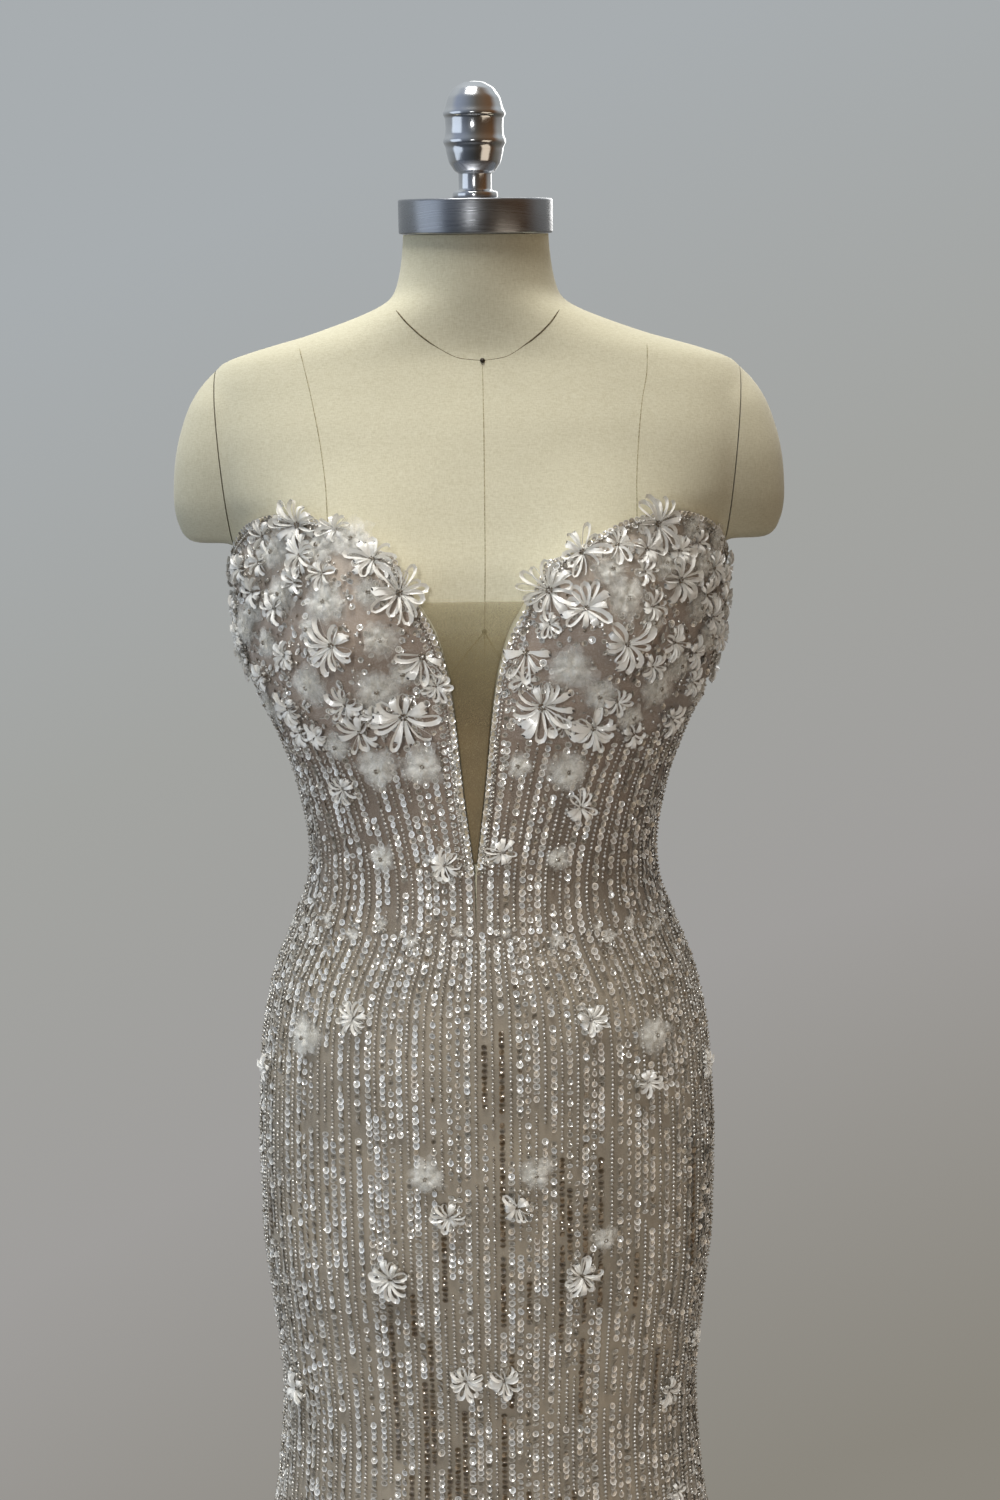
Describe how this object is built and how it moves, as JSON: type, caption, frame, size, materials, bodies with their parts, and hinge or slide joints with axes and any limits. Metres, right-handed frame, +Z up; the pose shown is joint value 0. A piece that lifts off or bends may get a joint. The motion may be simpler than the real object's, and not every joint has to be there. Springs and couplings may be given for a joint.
{
  "type": "strapless gown on a dress form",
  "caption": "Strapless beaded bridal gown with ribbon flowers on its cups and a deep sheer plunge, standing on a limbless linen dress form with a round base.",
  "frame": {"origin": "middle of the stand base's underside", "axes": "+Z up the form, -Y the way that the front of the gown faces, +X towards the wearer's left"},
  "size_m": [0.8012, 0.7751, 1.6218],
  "materials": {
    "beaded_tulle": "greige tulle over nude lining, covered in lines of clear sequins and pearls",
    "cup_tulle": "nude mauve tulle under flowers and sequins",
    "nude_mesh": "sheer nude mesh",
    "binding": "cream satin binding",
    "satin_ribbon": "ivory satin and frayed organza",
    "zip_tape": "nude coil zip",
    "zip_metal": "plated",
    "linen": "cream linen",
    "brushed_steel": "brushed round the axis",
    "chrome": "polished",
    "painted_iron": "satin",
    "pole_steel": "satin"
  },
  "bodies": {
    "gown_on_form": {"skirt_centre_front": "beaded_tulle", "skirt_side_front_left": "beaded_tulle", "skirt_side_back_left": "beaded_tulle", "skirt_centre_back_left": "beaded_tulle", "skirt_side_front_right": "beaded_tulle", "skirt_side_back_right": "beaded_tulle", "skirt_centre_back_right": "beaded_tulle", "bodice_front_left": "beaded_tulle", "bodice_side_front_left": "beaded_tulle", "bodice_side_back_left": "beaded_tulle", "bodice_back_left": "beaded_tulle", "bodice_front_right": "beaded_tulle", "bodice_side_front_right": "beaded_tulle", "bodice_side_back_right": "beaded_tulle", "bodice_back_right": "beaded_tulle", "cup_left": "cup_tulle", "cup_right": "cup_tulle", "plunge_mesh": "nude_mesh", "edge_binding_left": "binding", "edge_binding_right": "binding", "cup_flower_left_1": "satin_ribbon", "cup_flower_left_2": "satin_ribbon", "cup_flower_left_3": "satin_ribbon", "cup_flower_left_4": "satin_ribbon", "cup_flower_left_5": "satin_ribbon", "cup_flower_left_6": "satin_ribbon", "cup_flower_left_7": "satin_ribbon", "cup_flower_left_8": "satin_ribbon", "cup_flower_left_9": "satin_ribbon", "cup_flower_right_1": "satin_ribbon", "cup_flower_right_2": "satin_ribbon", "cup_flower_right_3": "satin_ribbon", "cup_flower_right_4": "satin_ribbon", "cup_flower_right_5": "satin_ribbon", "cup_flower_right_6": "satin_ribbon", "cup_flower_right_7": "satin_ribbon", "cup_flower_right_8": "satin_ribbon", "cup_flower_right_9": "satin_ribbon", "skirt_flower_left_1": "satin_ribbon", "skirt_flower_left_2": "satin_ribbon", "skirt_flower_left_3": "satin_ribbon", "skirt_flower_right_1": "satin_ribbon", "skirt_flower_right_2": "satin_ribbon", "skirt_flower_right_3": "satin_ribbon", "zip_chain": "zip_tape", "zip_slider": "zip_metal", "form_torso": "linen", "form_arm_left": "linen", "form_arm_right": "linen", "neck_cap": "brushed_steel", "finial": "chrome", "stand_base": "painted_iron", "stand_collar": "painted_iron", "stand_pole": "pole_steel"},
    "zip_pull_tab": {"zip_pull": "zip_metal"}
  },
  "joints": [
    {"name": "zip_pull_hinge", "type": "hinge", "parent": "gown_on_form", "child": "zip_pull_tab", "pos_m": [0, 0.10519, 1.278], "axis": [1, 0, 0], "range_deg": [0, 165]}
  ]
}
